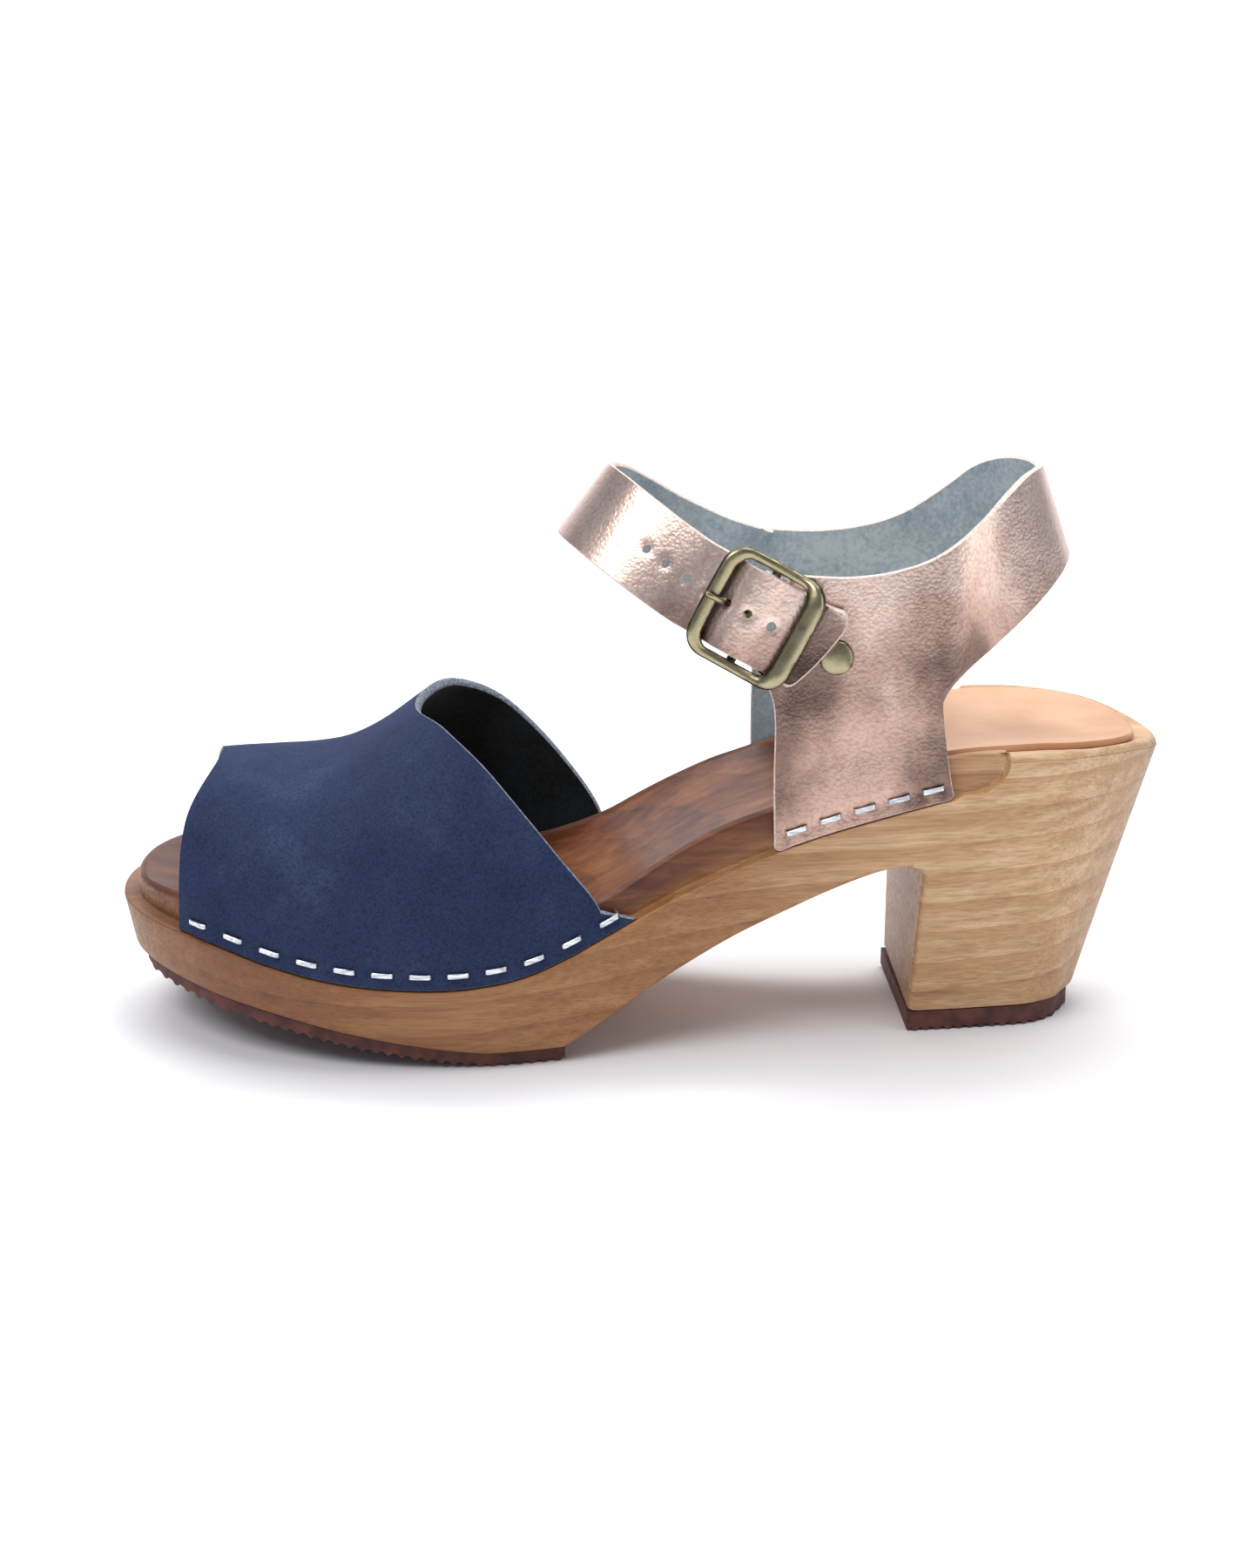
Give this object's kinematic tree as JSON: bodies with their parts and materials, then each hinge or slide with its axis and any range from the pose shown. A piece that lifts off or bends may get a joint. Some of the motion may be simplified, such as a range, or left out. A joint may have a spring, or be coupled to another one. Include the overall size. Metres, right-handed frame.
{
  "type": "wooden clog",
  "caption": "Heeled open-toe clog: carved wooden sole, stapled nubuck upper, metallic leather heel strap and a buckled front strap",
  "frame": {"origin": "on the floor, under the middle of the clog's length and width", "axes": "toe towards -X, heel towards +X, outer side with the buckle towards -Y, up +Z"},
  "size_m": [0.2502, 0.0916, 0.1337],
  "materials": {
    "wood": "bare alder, sanded, waxed",
    "rubber": "matt moulded rubber with toothed edges",
    "pad_leather": "smooth vegetable-tanned",
    "nubuck": "buffed navy nubuck",
    "strap_leather": "metallic rose-gold foil, pebbled",
    "brass": "antique brass plate",
    "steel": "bright drawn wire"
  },
  "bodies": {
    "clog": {"sole": "wood", "forefoot_outsole": "rubber", "heel_top_piece": "rubber", "heel_pad": "pad_leather", "vamp": "nubuck", "ankle_leather": "strap_leather", "strap_rivet": "brass", "rivet_burr": "brass", "vamp_staple_lateral_1": "steel", "vamp_staple_lateral_2": "steel", "vamp_staple_lateral_3": "steel", "vamp_staple_lateral_4": "steel", "vamp_staple_lateral_5": "steel", "vamp_staple_lateral_6": "steel", "vamp_staple_lateral_7": "steel", "vamp_staple_lateral_8": "steel", "vamp_staple_lateral_9": "steel", "vamp_staple_lateral_10": "steel", "vamp_staple_lateral_11": "steel", "vamp_staple_lateral_12": "steel", "vamp_staple_medial_1": "steel", "vamp_staple_medial_2": "steel", "vamp_staple_medial_3": "steel", "vamp_staple_medial_4": "steel", "vamp_staple_medial_5": "steel", "vamp_staple_medial_6": "steel", "vamp_staple_medial_7": "steel", "vamp_staple_medial_8": "steel", "vamp_staple_medial_9": "steel", "vamp_staple_medial_10": "steel", "vamp_staple_medial_11": "steel", "vamp_staple_medial_12": "steel", "strap_staple_lateral_1": "steel", "strap_staple_lateral_2": "steel", "strap_staple_lateral_3": "steel", "strap_staple_lateral_4": "steel", "strap_staple_lateral_5": "steel", "strap_staple_medial_1": "steel", "strap_staple_medial_2": "steel", "strap_staple_medial_3": "steel", "strap_staple_medial_4": "steel", "strap_staple_medial_5": "steel"},
    "strap": {"front_strap": "strap_leather", "strap_end": "strap_leather"},
    "buckle": {"buckle_frame": "brass"},
    "prong": {"buckle_prong": "brass"}
  },
  "joints": [
    {"name": "strap_swing", "type": "hinge", "parent": "clog", "child": "strap", "pos_m": [0.02507, 0.02949, 0.10303], "axis": [-0.4667, 0.0368, -0.8836], "range_deg": [0, 100], "deforming": ["strap_end"]},
    {"name": "buckle_pivot", "type": "hinge", "parent": "clog", "child": "buckle", "pos_m": [0.02506, -0.02745, 0.10295], "axis": [-0.4667, -0.0368, -0.8836], "range_deg": [0, 60]},
    {"name": "prong_pivot", "type": "hinge", "parent": "buckle", "child": "prong", "pos_m": [0.02506, -0.02745, 0.10295], "axis": [0.4667, 0.0368, 0.8836], "range_deg": [0, 95]}
  ]
}
